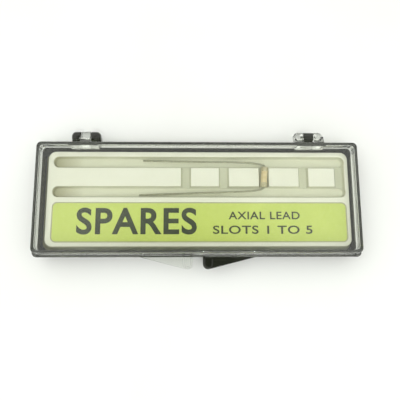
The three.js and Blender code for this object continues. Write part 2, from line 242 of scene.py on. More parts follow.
def half_walls():
    bead = OUTER_DRAFT + BEAD_REACH
    inside = OUTER_DRAFT - WALL
    levels = [
        (EDGE_ROUND * (1 - along), grown(flat_face, EDGE_ROUND * (out - 1)))
        for out, along in reversed(quarter_round(5))
    ]
    start = levels.pop(0)
    levels += [
        (BEAD_FOOT, grown(flat_face, OUTER_DRAFT)),
        (BEAD_FOOT + BEAD_ROUND, grown(flat_face, bead - BEAD_ROUND)),
        (BEAD_FOOT + 1.3 * BEAD_ROUND, grown(flat_face, bead - BEAD_ROUND / 3)),
        (BEAD_FOOT + 2 * BEAD_ROUND, grown(flat_face, bead)),
        (half_height - RIM_ROUND, grown(flat_face, bead)),
        (half_height - RIM_ROUND / 3, grown(flat_face, bead - RIM_ROUND / 3)),
        (half_height, grown(flat_face, bead - RIM_ROUND)),
        (half_height, grown(flat_face, inside + RIM_ROUND)),
        (half_height - RIM_ROUND / 3, grown(flat_face, inside + RIM_ROUND / 3)),
        (half_height - RIM_ROUND, grown(flat_face, inside)),
        (PLATE + INNER_FILLET, grown(flat_face, inside - INNER_DRAFT)),
        (PLATE + INNER_FILLET / 3, grown(flat_face, inside - INNER_DRAFT - INNER_FILLET / 3)),
        (PLATE, grown(flat_face, inside - INNER_DRAFT - INNER_FILLET)),
    ]
    outline(start[1], CORNER_RADIUS, start[0])
    return carry(start[1], start[0], levels)


half = half_walls()
tell("walls and plate", half)

# %% [markdown]
# ## The hinge knuckles
# The hinge is moulded in: a pair of ears on one side of a half and a barrel with pins on the other, so
# that two halves snap together. Each knuckle stands on a web that tapers down the wall, and inside the
# wall a pad backs each hinge.
#
# A knuckle could be lathed from a profile, but a rod whose end is bevelled gives the ears' dome with
# fewer steps. Rods and blocks are joined and cut with a Boolean modifier. These helpers make them,
# select faces or edges by their place, and apply a modifier.

# %% Blocks and rods
def block(left, right, front, back, bottom, top):
    bpy.ops.object.select_all(action="DESELECT")
    middle = ((left + right) / 2, (front + back) / 2, (bottom + top) / 2)
    bpy.ops.mesh.primitive_cube_add(size=1, location=middle)
    bpy.context.object.scale = (right - left, back - front, top - bottom)
    bpy.ops.object.transform_apply()
    return bpy.context.object


def rod(start, end, radius, sides=64):
    """A round bar between two points."""
    start, end = Vector(start), Vector(end)
    turn = (end - start).to_track_quat("Z", "Y").to_euler()
    bpy.ops.object.select_all(action="DESELECT")
    bpy.ops.mesh.primitive_cylinder_add(
        vertices=sides, radius=radius, depth=(end - start).length, location=(start + end) / 2, rotation=turn
    )
    bpy.ops.object.transform_apply()
    return bpy.context.object


def moved(piece, x):
    piece.data.transform(Matrix.Translation((x, 0, 0)))
    return piece


# %% Selecting by place, and modifiers
def pick(kind, wanted):
    """In edit mode, selects the faces or edges whose points are all wanted."""
    bpy.ops.mesh.select_mode(type=kind)
    bpy.ops.mesh.select_all(action="DESELECT")
    data = bpy.context.object.data
    mesh = bmesh.from_edit_mesh(data)
    for part in mesh.faces if kind == "FACE" else mesh.edges:
        part.select_set(all(wanted(point.co) for point in part.verts))
    mesh.select_flush_mode()
    bmesh.update_edit_mesh(data)


def with_modifier(piece, kind, **settings):
    alone(piece)
    bpy.ops.object.modifier_add(type=kind)
    modifier = piece.modifiers[-1]
    for name, value in settings.items():
        setattr(modifier, name, value)
    bpy.ops.object.modifier_apply(modifier=modifier.name)
    return piece


def combine(piece, other, operation="UNION"):
    with_modifier(piece, "BOOLEAN", object=other, operation=operation, solver="EXACT")
    bpy.data.objects.remove(other)
    return piece


# %% Web and ears
HINGE_OFFSET = 37.5
BARREL_HALF = 1.55
BARREL_EDGE = 0.15
EAR_START = BARREL_HALF + clearance
EAR_END = EAR_START + 3.15
EAR_ROUND = 1.5
EAR_EDGE = 0.12
PIN_RADIUS = 0.7
PIN_LENGTH = 1.0
PIN_PLAY = 0.05
SOCKET_RADIUS = 0.85
WEB_FOOT = 1.4
NEAR = 0.01  # how close a point lies to the place it is picked by
HAIR = 0.03  # keeps faces from lying in one plane, which Boolean cuts don't like


def web(left, right):
    """The web under a knuckle. Its outer lower edge is lifted to the knuckle's own foot."""
    wall = flat_y - WALL / 4
    foot = axis_z - knuckle_radius - WEB_FOOT
    piece = block(left + HAIR, right - HAIR, wall, axis_y, foot, half_height - HAIR)
    edit(piece)
    pick("EDGE", lambda p: p.y > axis_y - NEAR and p.z < foot + NEAR)
    bpy.ops.transform.translate(value=(0, 0, WEB_FOOT))
    return leave_edit()


def ear(side):
    near, far = side * EAR_START, side * EAR_END
    piece = rod((near, axis_y, axis_z), (far, axis_y, axis_z), knuckle_radius)
    edit(piece)
    pick("FACE", lambda p: abs(p.x - far) < NEAR)
    bpy.ops.mesh.bevel(offset=EAR_ROUND, segments=8, affect="EDGES")
    pick("FACE", lambda p: abs(p.x - near) < NEAR)
    bpy.ops.mesh.bevel(offset=EAR_EDGE, segments=2, affect="EDGES")
    piece = combine(leave_edit(), web(min(near, far), max(near, far)))
    socket_end = side * (EAR_START + PIN_LENGTH)
    socket = rod((0, axis_y, axis_z), (socket_end, axis_y, axis_z), SOCKET_RADIUS)
    return combine(piece, socket, "DIFFERENCE")


# %% Barrel with its pins, and the pad inside the wall
PAD_HALF = 5.4
PAD_DEPTH = 0.4
PAD_SLOPE = 0.8
PAD_BELOW_RIM = 0.05


def barrel():
    piece = rod((-BARREL_HALF, axis_y, axis_z), (BARREL_HALF, axis_y, axis_z), knuckle_radius)
    edit(piece)
    for side in (-1, 1):
        pick("FACE", lambda p: side * p.x > BARREL_HALF - NEAR)
        bpy.ops.mesh.bevel(offset=BARREL_EDGE, segments=2, affect="EDGES")
    piece = combine(leave_edit(), web(-BARREL_HALF, BARREL_HALF))
    pin_end = BARREL_HALF + PIN_LENGTH - PIN_PLAY
    return combine(piece, rod((-pin_end, axis_y, axis_z), (pin_end, axis_y, axis_z), PIN_RADIUS))


def hinge_pad():
    inner_y = flat_y + OUTER_DRAFT - WALL
    front, back = inner_y - PAD_DEPTH, inner_y + WALL / 2
    piece = block(-PAD_HALF, PAD_HALF, front, back, PLATE / 2, half_height - PAD_BELOW_RIM)
    edit(piece)
    pick("FACE", lambda p: p.y < inner_y)
    narrower = (PAD_HALF - PAD_SLOPE) / PAD_HALF
    bpy.ops.transform.resize(value=(narrower, 1, 1), center_override=(0, inner_y, half_height))
    return leave_edit()


# %% Both hinges on the half
for x in (-HINGE_OFFSET, HINGE_OFFSET):
    half = combine(half, moved(hinge_pad(), x))
for side in (-1, 1):
    half = combine(half, moved(ear(side), -HINGE_OFFSET))
half = combine(half, moved(barrel(), HINGE_OFFSET))
tell("half with its hinges", half)

# %% [markdown]
# ## The thumb tab
# Each half has a thumb tab at the rim, a long low triangle with a round tip. A block is cut back to
# the triangle by sliding one edge, and its sharp corner is bevelled round, which keeps the tip a true
# arc. The U-shaped rib on it, where the thumb pushes, is a small square section extruded, spun half a
# turn about the tip's centre, and extruded back, because a U is two straights and one turn.

# %% Tab sizes
TAB_START = 1.6
TAB_END = 18.9
TIP_RADIUS = 1.8
TAB_THICK = 1.0
TAB_EDGE = 0.18
RIB_RADIUS = 1.25
RIB_WIDTH = 0.5
RIB_HEIGHT = 0.45
RIB_STUB = 0.1
RIB_EDGE = 0.18
tip_x = TAB_START + TIP_RADIUS
tip_y = base_low.y + TIP_RADIUS
print("tab from", TAB_START, "to", TAB_END, "mm, with its tip's centre at", round(tip_y, 2))


def soften(piece, width, segments=3, angle=40):
    """Rounds every edge that turns more than the angle."""
    return with_modifier(
        piece,
        "BEVEL",
        width=width,
        segments=segments,
        limit_method="ANGLE",
        angle_limit=math.radians(angle),
        use_clamp_overlap=False,
    )


# %% Tab
def tab_plate():
    to_end = Vector((TAB_END - tip_x, -rim_y - tip_y))
    touch = math.atan2(to_end.y, to_end.x) - math.acos(TIP_RADIUS / to_end.length)
    slope = math.tan(touch + math.pi / 2)
    touch_x = tip_x + TIP_RADIUS * math.cos(touch)
    corner_y = tip_y + TIP_RADIUS * math.sin(touch) - (touch_x - TAB_START) * slope
    root = -rim_y + BEAD_REACH / 2
    piece = block(TAB_START, TAB_END, corner_y, root, half_height - TAB_THICK, half_height - HAIR)
    edit(piece)
    pick("EDGE", lambda p: p.x > TAB_END - NEAR and p.y < corner_y + NEAR)
    bpy.ops.transform.translate(value=(0, -rim_y - corner_y, 0))
    pick("EDGE", lambda p: p.x < TAB_START + NEAR and p.y < corner_y + NEAR)
    bpy.ops.mesh.bevel(offset=tip_y - corner_y, segments=12, affect="EDGES")
    return soften(leave_edit(), TAB_EDGE, segments=2)


# %% Rib
def tab_rib():
    leg_end = -rim_y - clearance
    bottom, top = half_height - TAB_THICK / 2, half_height + RIB_HEIGHT
    left, right = tip_x - RIB_RADIUS - RIB_WIDTH / 2, tip_x - RIB_RADIUS + RIB_WIDTH / 2
    piece = block(left, right, leg_end - RIB_STUB, leg_end, bottom, top)
    edit(piece)
    pick("FACE", lambda p: p.y < leg_end - RIB_STUB / 2)
    bpy.ops.transform.translate(value=(0, tip_y - leg_end + RIB_STUB, 0))
    bpy.ops.mesh.spin(steps=16, angle=math.pi, center=(tip_x, tip_y, top), axis=(0, 0, -1))
    bpy.ops.mesh.extrude_region_move(TRANSFORM_OT_translate={"value": (0, leg_end - tip_y, 0)})
    return soften(close_up(leave_edit()), RIB_EDGE)


half = combine(half, tab_plate())
half = combine(half, tab_rib())
tell("half with its tab", half)

# %% [markdown]
# The lid is the same half, copied with its own mesh and given half a turn about the line from front to
# back. That brings its ears over the base's barrel and puts the two tabs side by side. A mirrored copy
# would be a different moulding and would put ears on ears.

# %% The other half
other_half = half.copy()
other_half.data = half.data.copy()
bpy.ops.object.select_all(action="DESELECT")
bpy.context.scene.collection.objects.link(other_half)
turned_over = Matrix.Translation((0, 0, case_height)) @ Matrix.Rotation(math.pi, 4, "Y")
other_half.data.transform(turned_over)
tell("other half, turned over", other_half)

# %% [markdown]
# ## Black and clear polystyrene
# Both halves are general-purpose polystyrene, a glassy plastic. The polished mould leaves it a mirror
# gloss with a very slight waviness. Handling adds hairline scratches along the case and dull smears.
#
# A finish could be painted as pictures, but patterns worked out from Object coordinates need no files
# and can be given their real size. Colours are written as screen hex values, which one function turns
# linear. One more function adds a node with its settings and its inputs, and the rest is said with it.

# %% Colours and nodes
def colour(code):
    parts = [int(code[i : i + 2], 16) / 255 for i in (1, 3, 5)]
    return [part / 12.92 if part <= 0.04045 else ((part + 0.055) / 1.055) ** 2.4 for part in parts] + [1]


def add(tree, kind, inputs=None, **settings):
    """Adds a node. An input is a value, a socket, or a node, which stands for its first live output."""
    node = tree.nodes.new("ShaderNode" + kind)
    for name, value in settings.items():
        setattr(node, name, value)
    for name, value in (inputs or {}).items():
        if isinstance(value, bpy.types.Node):
            value = next(socket for socket in value.outputs if socket.enabled)
        if isinstance(value, bpy.types.NodeSocket):
            tree.links.new(value, node.inputs[name])
        else:
            node.inputs[name].default_value = value
    return node


def new_material(name):
    """An empty material, its node tree and its Object coordinates."""
    material = bpy.data.materials.new(name)
    material.use_nodes = True
    tree = material.node_tree
    tree.nodes.clear()
    return material, tree, add(tree, "TexCoord").outputs["Object"]


def finished(material, shader):
    """Links the shader to the material's output."""
    tree = material.node_tree
    add(tree, "OutputMaterial", {"Surface": shader})
    print(material.name, "has", len(tree.nodes), "nodes")
    return material


# %% Real sizes of patterns
MOSTLY = {"From Min": 0.3, "From Max": 0.7}  # noise seldom goes beyond these


def per_metre(size_mm):
    """The Scale of a noise whose features are about that many millimetres across."""
    return 1 / (size_mm * MM)


print("features of 1 mm need a scale of", per_metre(1))

# %% [markdown]
# The black half is pigmented all through, so only its skin shows: smears dull it, and dust lies on it
# as grey specks. The specks are drawn half a millimetre wide, coarser than real dust, so that they show.
# A Mix node's inputs 6 and 7 are its two colours.

# %% Black polystyrene
def black_polystyrene():
    material, tree, place = new_material("polystyrene_black_moulded")
    along_case = add(tree, "Mapping", {"Vector": place, "Scale": (1 / 14, 1, 1)})
    smears = add(tree, "TexNoise", {"Vector": place, "Scale": per_metre(9), "Detail": 4})
    hairlines = add(tree, "TexNoise", {"Vector": along_case, "Scale": per_metre(0.35), "Detail": 2})
    speck_look = {"Scale": per_metre(0.5), "Detail": 1, "Roughness": 0.8}
    specks = add(tree, "TexNoise", {"Vector": place, **speck_look})
    wave = add(tree, "TexNoise", {"Vector": place, "Scale": per_metre(6), "Detail": 1})
    smear_dull = add(tree, "MapRange", {"Value": smears, **MOSTLY, "To Min": 0.06, "To Max": 0.15})
    scratches = {"Value": hairlines, "From Min": 0.55, "From Max": 0.75, "To Max": 0.08}
    scratch_dull = add(tree, "MapRange", scratches)
    dull = add(tree, "Math", {0: smear_dull, 1: scratch_dull}, operation="ADD")
    shade = add(tree, "MapRange", {"Value": smears, **MOSTLY})
    blacks = {"Factor": shade, 6: colour("#12140c"), 7: colour("#1b1e12")}
    body = add(tree, "Mix", blacks, data_type="RGBA")
    dust = add(tree, "MapRange", {"Value": specks, "From Min": 0.7, "From Max": 0.78, "To Max": 0.3})
    dusty = add(tree, "Mix", {"Factor": dust, 6: body, 7: colour("#7f8279")}, data_type="RGBA")
    waved = add(tree, "Bump", {"Height": wave, "Distance": 0.01 * MM, "Strength": 0.3})
    scratch_depth = {"Height": hairlines, "Distance": 0.004 * MM, "Strength": 0.3}
    scratched = add(tree, "Bump", {**scratch_depth, "Normal": waved})
    plastic = {"Base Color": dusty, "Roughness": dull, "Normal": scratched, "IOR": 1.59}
    return finished(material, add(tree, "BsdfPrincipled", plastic))


black = black_polystyrene()

# %% [markdown]
# The clear half refracts with an index of 1.59. A clear solid throws a black shadow in a path tracer
# unless light finds its way through by chance. So the usual remedy is used: rays that only ask whether
# a lamp is visible see a nearly clear film.

# %% Clear polystyrene
def clear_polystyrene():
    material, tree, place = new_material("polystyrene_clear_moulded")
    along_case = add(tree, "Mapping", {"Vector": place, "Scale": (1 / 16, 1, 1)})
    smears = add(tree, "TexNoise", {"Vector": place, "Scale": per_metre(12), "Detail": 4})
    hairlines = add(tree, "TexNoise", {"Vector": along_case, "Scale": per_metre(0.3), "Detail": 2})
    wave = add(tree, "TexNoise", {"Vector": place, "Scale": per_metre(7), "Detail": 1})
    smear_dull = add(tree, "MapRange", {"Value": smears, **MOSTLY, "To Max": 0.035})
    scratches = {"Value": hairlines, "From Min": 0.62, "From Max": 0.8, "To Max": 0.03}
    scratch_dull = add(tree, "MapRange", scratches)
    dull = add(tree, "Math", {0: smear_dull, 1: scratch_dull}, operation="ADD")
    waved = add(tree, "Bump", {"Height": wave, "Distance": 0.0006 * MM, "Strength": 0.02})
    scratch_depth = {"Height": hairlines, "Distance": 0.0006 * MM, "Strength": 0.05}
    scratched = add(tree, "Bump", {**scratch_depth, "Normal": waved})
    plastic = {"Base Color": colour("#fafcf8"), "Roughness": dull, "Normal": scratched, "IOR": 1.59}
    solid = add(tree, "BsdfPrincipled", {**plastic, "Transmission Weight": 1.0})
    film = add(tree, "BsdfTransparent", {"Color": colour("#f6f8f3")})
    asks_for_lamp = add(tree, "LightPath").outputs["Is Shadow Ray"]
    return finished(material, add(tree, "MixShader", {0: asks_for_lamp, 1: solid, 2: film}))


clear = clear_polystyrene()

# %% [markdown]
# ## Finishing a piece
# Every finished piece is one mesh whose object sits at the origin. It gets its name, its material, the
# body that it rides on and the CAD nodes that it stands for. Its edges are smoothed only where they
# turn gently, and the weighted normals keep the flat faces flat beside the rounds.

# %% Finishing a piece
def finish_piece(piece, name, material, body, nodes=(), angle=35):
    alone(piece)
    piece.data.transform(Matrix.Scale(MM, 4))
    bpy.ops.object.shade_smooth_by_angle(angle=math.radians(angle))
    with_modifier(piece, "WEIGHTED_NORMAL", keep_sharp=True, weight=90)
    piece.name = name
    piece.data.name = name
    piece.data.materials.clear()
    piece.data.materials.append(material)
    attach(piece, body)
    if nodes:
        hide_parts(*nodes)
    mesh = bmesh.new()
    mesh.from_mesh(piece.data)
    open_edges = sum(not edge.is_manifold for edge in mesh.edges)
    triangles = sum(len(face.verts) - 2 for face in mesh.faces)
    volume = mesh.calc_volume() / MM**3
    mesh.free()
    print(f"{name} has {triangles} triangles, {open_edges} open edges and {volume:.1f} mm3")


finish_piece(half, "case_base", black, "base", ["base_shell"])
finish_piece(other_half, "case_lid", clear, "lid", ["lid_shell"])

# %% [markdown]
# ## The tray
# A thin sheet of cream styrene is heated and drawn by vacuum over a pattern. That is why every edge of
# it is soft, why its walls lean and why it is hollow underneath.
#
# Bevelling all the edges of the finished tray at once leaves spikes where grooves and slots meet. So
# each round is part of the shape that makes it: the outer edge's round is in the levels of the skirt,
# and the lips and fillets of a recess are in its cutter. The hollow underneath is the skirt's inside,
# less the same grooves and slots made thicker by the sheet.

# %% Tray sizes
SHEET = 0.5
TRAY_CORNER = 2.6
EDGE_LIP = 0.3
LEAN_LEFT, LEAN_RIGHT, LEAN_FRONT, LEAN_BACK = 1.15, 0.2, 1.07, 0.15
tray_low, tray_high = box_mm("insert_tray")
tray_top = tray_high.z
foot_sides = (tray_low.x, tray_high.x, tray_low.y, tray_high.y)
top_sides = (
    tray_low.x + LEAN_LEFT,
    tray_high.x - LEAN_RIGHT,
    tray_low.y + LEAN_FRONT,
    tray_high.y - LEAN_BACK,
)
print("the tray's top is", round(top_sides[1] - top_sides[0], 2), "mm long")

# %% The skirt and the space inside it
def skirt():
    rounding = [
        (tray_top - EDGE_LIP * (1 - along), grown(top_sides, -EDGE_LIP * (1 - out)))
        for out, along in quarter_round(6)
    ]
    outline(foot_sides, TRAY_CORNER, tray_low.z)
    return carry(foot_sides, tray_low.z, rounding)


def inside_of_skirt():
    """It reaches a millimetre below the tray, so that no two faces lie in one plane."""
    below = tray_low.z - 1
    foot = grown(foot_sides, -SHEET)
    outline(foot, TRAY_CORNER - SHEET, below)
    return carry(foot, below, [(tray_low.z, foot), (tray_top - SHEET, grown(top_sides, -SHEET))])


formed = skirt()
hollow = inside_of_skirt()
tell("skirt", formed)

# %% [markdown]
# The two grooves take the leads and have round ends. Insetting a groove's lower face draws its wall in
# evenly all the way round, which scaling a long thin outline would not do.

# %% Groove places and the way a recess narrows
GROOVE_DEPTH = 1.8
GROOVE_FROM_LEFT, GROOVE_FROM_RIGHT, GROOVE_FROM_BACK = 1.8, 1.25, 1.75
BACK_GROOVE_WIDTH, FRONT_GROOVE_WIDTH = 3.8, 3.7
BACK_GROOVE_END, FRONT_GROOVE_END = 1.8, 1.75  # radius of the round ends
BETWEEN_GROOVES = 6.45
WALL_LEAN = 0.35
LIP = 0.25
FILLET = 0.35
ABOVE = 0.1  # how far above the tray a cutter starts
groove_left, groove_right = top_sides[0] + GROOVE_FROM_LEFT, top_sides[1] - GROOVE_FROM_RIGHT
back_line = top_sides[3] - GROOVE_FROM_BACK
back_groove = (groove_left, groove_right, back_line - BACK_GROOVE_WIDTH, back_line)
front_line = back_groove[2] - BETWEEN_GROOVES
front_groove = (groove_left, groove_right, front_line - FRONT_GROOVE_WIDTH, front_line)
print("grooves from", round(groove_left, 2), "to", round(groove_right, 2), "mm")


def recess_profile(depth):
    """How a recess narrows on its way down: each step's inset from the lip's edge, and its height."""
    lip = [(LIP * along, tray_top - LIP * (1 - out)) for out, along in quarter_round(4)]
    floor = tray_top - depth
    bend = [
        (LIP + WALL_LEAN + FILLET * (1 - out), floor + FILLET * (1 - along))
        for out, along in quarter_round(4)
    ]
    return lip + bend


# %% Grooves
def groove_cutter(sides, radius):
    """A groove as a body. Insetting its lower face draws the wall in evenly, round ends included."""
    piece = outline(grown(sides, LIP), radius + LIP, tray_top + ABOVE, segments=12)
    bpy.ops.mesh.extrude_region_move(TRANSFORM_OT_translate={"value": (0, 0, -ABOVE)})
    drawn_in, height = 0, tray_top
    for inset, next_height in recess_profile(GROOVE_DEPTH)[1:]:
        bpy.ops.mesh.inset(thickness=inset - drawn_in, use_even_offset=True)
        bpy.ops.transform.translate(value=(0, 0, next_height - height))
        drawn_in, height = inset, next_height
    return close_up(leave_edit())


def under_groove(sides, radius):
    """What a groove leaves of the hollow: the groove's own body, thicker by the sheet all round."""
    piece = outline(grown(sides, SHEET), radius + SHEET, tray_top + ABOVE, segments=12)
    bpy.ops.mesh.extrude_region_move(TRANSFORM_OT_translate={"value": (0, 0, -ABOVE)})
    bpy.ops.mesh.inset(thickness=WALL_LEAN, use_even_offset=True)
    bpy.ops.transform.translate(value=(0, 0, -GROOVE_DEPTH - SHEET))
    return close_up(leave_edit())


for sides, radius in ((back_groove, BACK_GROOVE_END), (front_groove, FRONT_GROOVE_END)):
    formed = combine(formed, groove_cutter(sides, radius), "DIFFERENCE")
    hollow = combine(hollow, under_groove(sides, radius), "DIFFERENCE")
tell("tray with its grooves", formed)

# %% [markdown]
# Each slot holds one fuse body and runs from groove to groove, so its ends are open and only its sides
# lean. The real slots are not evenly spaced, so their middles are five values.

# %% Slots
SLOT_DEPTH = 1.3
SLOT_HALF = 1.65
SLOTS_FROM_RIGHT = (1.8, 14.1, 27.65, 41.2, 54.05)
SLOT_INTO_GROOVE = 1.9  # how far its cutter runs on into each groove


def slot_sides(middle, outset, into):
    left, right = middle - SLOT_HALF - outset, middle + SLOT_HALF + outset
    return (left, right, front_groove[3] - into, back_groove[2] + into)


def slot_cutter(middle):
    top = slot_sides(middle, LIP, SLOT_INTO_GROOVE)
    levels = [
        (height, slot_sides(middle, LIP - inset, SLOT_INTO_GROOVE))
        for inset, height in recess_profile(SLOT_DEPTH)
    ]
    outline(top, 0, tray_top + ABOVE)
    return carry(top, tray_top + ABOVE, levels)


def under_slot(middle):
    into = SLOT_INTO_GROOVE - 2 * HAIR
    top = slot_sides(middle, SHEET, into)
    outline(top, 0, tray_top + ABOVE)
    floor = (tray_top - SLOT_DEPTH - SHEET, slot_sides(middle, SHEET - WALL_LEAN, into))
    return carry(top, tray_top + ABOVE, [floor])


for from_right in SLOTS_FROM_RIGHT:
    formed = combine(formed, slot_cutter(groove_right - from_right), "DIFFERENCE")
    hollow = combine(hollow, under_slot(groove_right - from_right), "DIFFERENCE")
tell("tray with its slots", formed)

# %% [markdown]
# A shallow pocket takes the label. It is cut as one outline with a fine lip, and then the hollow is
# taken out from below. A cut can leave slivers with no area, which would shade wrongly, so they are
# dissolved at the end.

# %% Label pocket and the whole tray
POCKET_DEPTH = 0.35
POCKET_CORNER = 1.7
POCKET_LIP = 0.1
POCKET_LEFT, POCKET_RIGHT, POCKET_FRONT, POCKET_BACK = 1.9, 1.16, 1.43, 1.72
SLIVER = 0.0002
pocket_sides = (
    top_sides[0] + POCKET_LEFT,
    top_sides[1] - POCKET_RIGHT,
    top_sides[2] + POCKET_FRONT,
    front_groove[2] - POCKET_BACK,
)


def pocket_cutter():
    floor, edge = tray_top - POCKET_DEPTH, POCKET_LIP
    levels = [
        (tray_top - edge, pocket_sides),
        (tray_top - edge / 3, grown(pocket_sides, edge / 3)),
        (tray_top, grown(pocket_sides, edge)),
        (tray_top + ABOVE, grown(pocket_sides, edge)),
    ]
    outline(pocket_sides, POCKET_CORNER, floor)
    return carry(pocket_sides, floor, levels)


formed = combine(formed, pocket_cutter(), "DIFFERENCE")
formed = combine(formed, hollow, "DIFFERENCE")
edit(formed)
bpy.ops.mesh.dissolve_degenerate(threshold=SLIVER)
formed = close_up(leave_edit())
tell("whole tray", formed)

# %% [markdown]
# The sheet took the fine tooth of the rollers that made it, and its cream is warmer in some places
# than in others. Shade is painted into its colour by height: the floors and walls of the recesses and
# the label's pocket are painted darker than the top, as shade falls in them, and the grooves' left ends
# get a painted shadow of their end walls on top. The tooth is drawn an eighth of a millimetre wide, and
# dust gathers on it as faint specks.

# %% Styrene sheet
# Painted shade: what the sheet's colour is multiplied by at each height, from the grooves' floor (0) to the
# top (1).
PAINTED_SHADE_BY_HEIGHT = (
    (0.2, "#dadccf"),
    (0.4, "#dadccf"),
    (0.7, "#d2d0bf"),
    (0.84, "#c6c4b0"),
    (0.94, "#f8f8f4"),
)
# Painted shadow at the grooves' left ends: it fades out between these heights above the floor, and over
# this length to the right.
END_SHADE_FROM, END_SHADE_TO = 0.9, 1.5  # above the groove's floor
END_SHADE_LENGTH = 10


def painted_recess_shade(tree, place, body):
    """Paints shade into the body colour: darker low in the recesses, and darker again at the grooves' left
    ends.
    """
    across, _, level = add(tree, "SeparateXYZ", {0: place}).outputs
    low, high = tray_top - GROOVE_DEPTH, tray_top
    part_of_depth = {"Value": level, "From Min": low * MM, "From Max": high * MM}
    # The ramp paints shade by height: white at the top, darker down the recesses' walls and on their
    # floors.
    painted_depth_shade = add(tree, "ValToRGB", {"Fac": add(tree, "MapRange", part_of_depth)})
    stops = painted_depth_shade.color_ramp.elements
    stops[0].color = colour("#f0f1e7")
    stops[1].color = colour("#ffffff")
    for part, code in PAINTED_SHADE_BY_HEIGHT:
        stops.new(part).color = colour(code)
    painted_shade_inputs = {"Factor": 1.0, 6: body, 7: painted_depth_shade}
    body = add(tree, "Mix", painted_shade_inputs, data_type="RGBA", blend_type="MULTIPLY")
    # Painted shadow at the grooves' left ends: strongest low down and at the end, fading up and to the
    # right, multiplied in with #c2bfa6.
    fading_up = {"From Min": (low + END_SHADE_FROM) * MM, "From Max": (low + END_SHADE_TO) * MM}
    end_shade_low = add(tree, "MapRange", {"Value": level, **fading_up, "To Min": 1, "To Max": 0})
    fading_right = {"From Min": groove_left * MM, "From Max": (groove_left + END_SHADE_LENGTH) * MM}
    end_shade_near = add(tree, "MapRange", {"Value": across, **fading_right, "To Min": 1, "To Max": 0})
    painted_end_shade = add(tree, "Math", {0: end_shade_low, 1: end_shade_near}, operation="MULTIPLY")
    ends = {"Factor": painted_end_shade, 6: body, 7: colour("#c2bfa6")}
    return add(tree, "Mix", ends, data_type="RGBA", blend_type="MULTIPLY")


def cream_sheet():
    material, tree, place = new_material("styrene_sheet_formed")
    cloud = add(tree, "TexNoise", {"Vector": place, "Scale": per_metre(14), "Detail": 3})
    tooth = add(tree, "TexNoise", {"Vector": place, "Scale": per_metre(0.12), "Detail": 2})
    specks = add(tree, "TexNoise", {"Vector": place, "Scale": per_metre(0.35), "Detail": 1})
    warmth = add(tree, "MapRange", {"Value": cloud, **MOSTLY})
    creams = {"Factor": warmth, 6: colour("#e6e5d6"), 7: colour("#ebeadd")}
    body = painted_recess_shade(tree, place, add(tree, "Mix", creams, data_type="RGBA"))
    dust = add(tree, "MapRange", {"Value": specks, "From Min": 0.74, "From Max": 0.8, "To Max": 0.25})
    dusty = add(tree, "Mix", {"Factor": dust, 6: body, 7: colour("#b9b292")}, data_type="RGBA")
    gloss = add(tree, "MapRange", {"Value": cloud, **MOSTLY, "To Min": 0.2, "To Max": 0.27})
    clouded = add(tree, "Bump", {"Height": cloud, "Distance": 0.02 * MM, "Strength": 0.2})
    tooth_depth = {"Height": tooth, "Distance": 0.004 * MM, "Strength": 0.2}
    toothed = add(tree, "Bump", {**tooth_depth, "Normal": clouded})
    sheet = {"Base Color": dusty, "Roughness": gloss, "Normal": toothed, "IOR": 1.5}
    return finished(material, add(tree, "BsdfPrincipled", sheet))


finish_piece(formed, "tray_formed", cream_sheet(), "base", ["insert_tray"])

# %% [markdown]
# ## The label
# A label of green uncoated paper lies in the tray's pocket. Its print is dark olive ink, which soaks in
# a little, so it is dull and not quite even. The words are plain and general: this case is nobody's.
#
# The print could be a mask in the paper's material, but a picture of letters would be needed. Text
# turned to a mesh is sharp at any distance and stands on the paper by a few thousandths of a
# millimetre. The paper itself is an outline given its thickness.

# %% Label
LABEL_CORNER = 1.4
LABEL_EDGE = 0.03
label_low, label_high = box_mm("label")


def label_sheet():
    sides = (label_low.x, label_high.x, label_low.y, label_high.y)
    outline(sides, LABEL_CORNER, label_low.z)
    piece = carry(sides, label_low.z, [(label_high.z, sides)])
    return soften(piece, LABEL_EDGE, segments=2)


paper_piece = label_sheet()
tell("label", paper_piece)

# %% Print
LETTER_SIZE = 10  # only a start, because each line is stretched to its place
LETTER_SPACING = 1.08
INK_THICK = 0.006
INK_LIFT = 0.008
LINES = (
    ("SPARES", (-40.2, -0.3, -11.6, -2.6), 0.23),
    ("AXIAL LEAD", (10.3, 34.2, -6.5, -3.9), 0.16),
    ("SLOTS 1 TO 5", (5.05, 38.3, -11.4, -8.6), 0.16),
)


def printed(words, sides, weight):
    """Text made bold by its offset, turned to a mesh and stretched to fill its place on the label."""
    bpy.ops.object.select_all(action="DESELECT")
    bpy.ops.object.text_add(location=(0, 0, 0))
    letters = bpy.context.object
    letters.data.body = words
    letters.data.size = LETTER_SIZE
    letters.data.space_character = LETTER_SPACING
    letters.data.offset = weight
    letters.data.extrude = INK_THICK
    letters.data.resolution_u = 6
    bpy.ops.object.convert(target="MESH")
    letters = close_up(bpy.context.object)
    low, high = tell(words, letters)
    left, right, bottom, top = sides
    fit = Matrix.Diagonal(((right - left) / (high.x - low.x), (top - bottom) / (high.y - low.y), 1, 1))
    lift = Matrix.Translation((left, bottom, label_high.z + INK_LIFT))
    letters.data.transform(lift @ fit @ Matrix.Translation((-low.x, -low.y, 0)))
    return letters


print_lines = [printed(*line) for line in LINES]
alone(print_lines[0])
for line in print_lines[1:]:
    line.select_set(True)
bpy.ops.object.join()
print_piece = bpy.context.object
tell("print", print_piece)

# %% [markdown]
# Uncoated paper scatters light from its fibres, so it is dull and has a faint sheen at a slant. The
# fibres lie mostly one way, as they settle when paper is made, so their noise is drawn out three to
# one. They are drawn a third of a millimetre wide, coarser than real ones, so that they show. The ink
# sinks between the fibres, so it is paler in small spots and has no gloss.

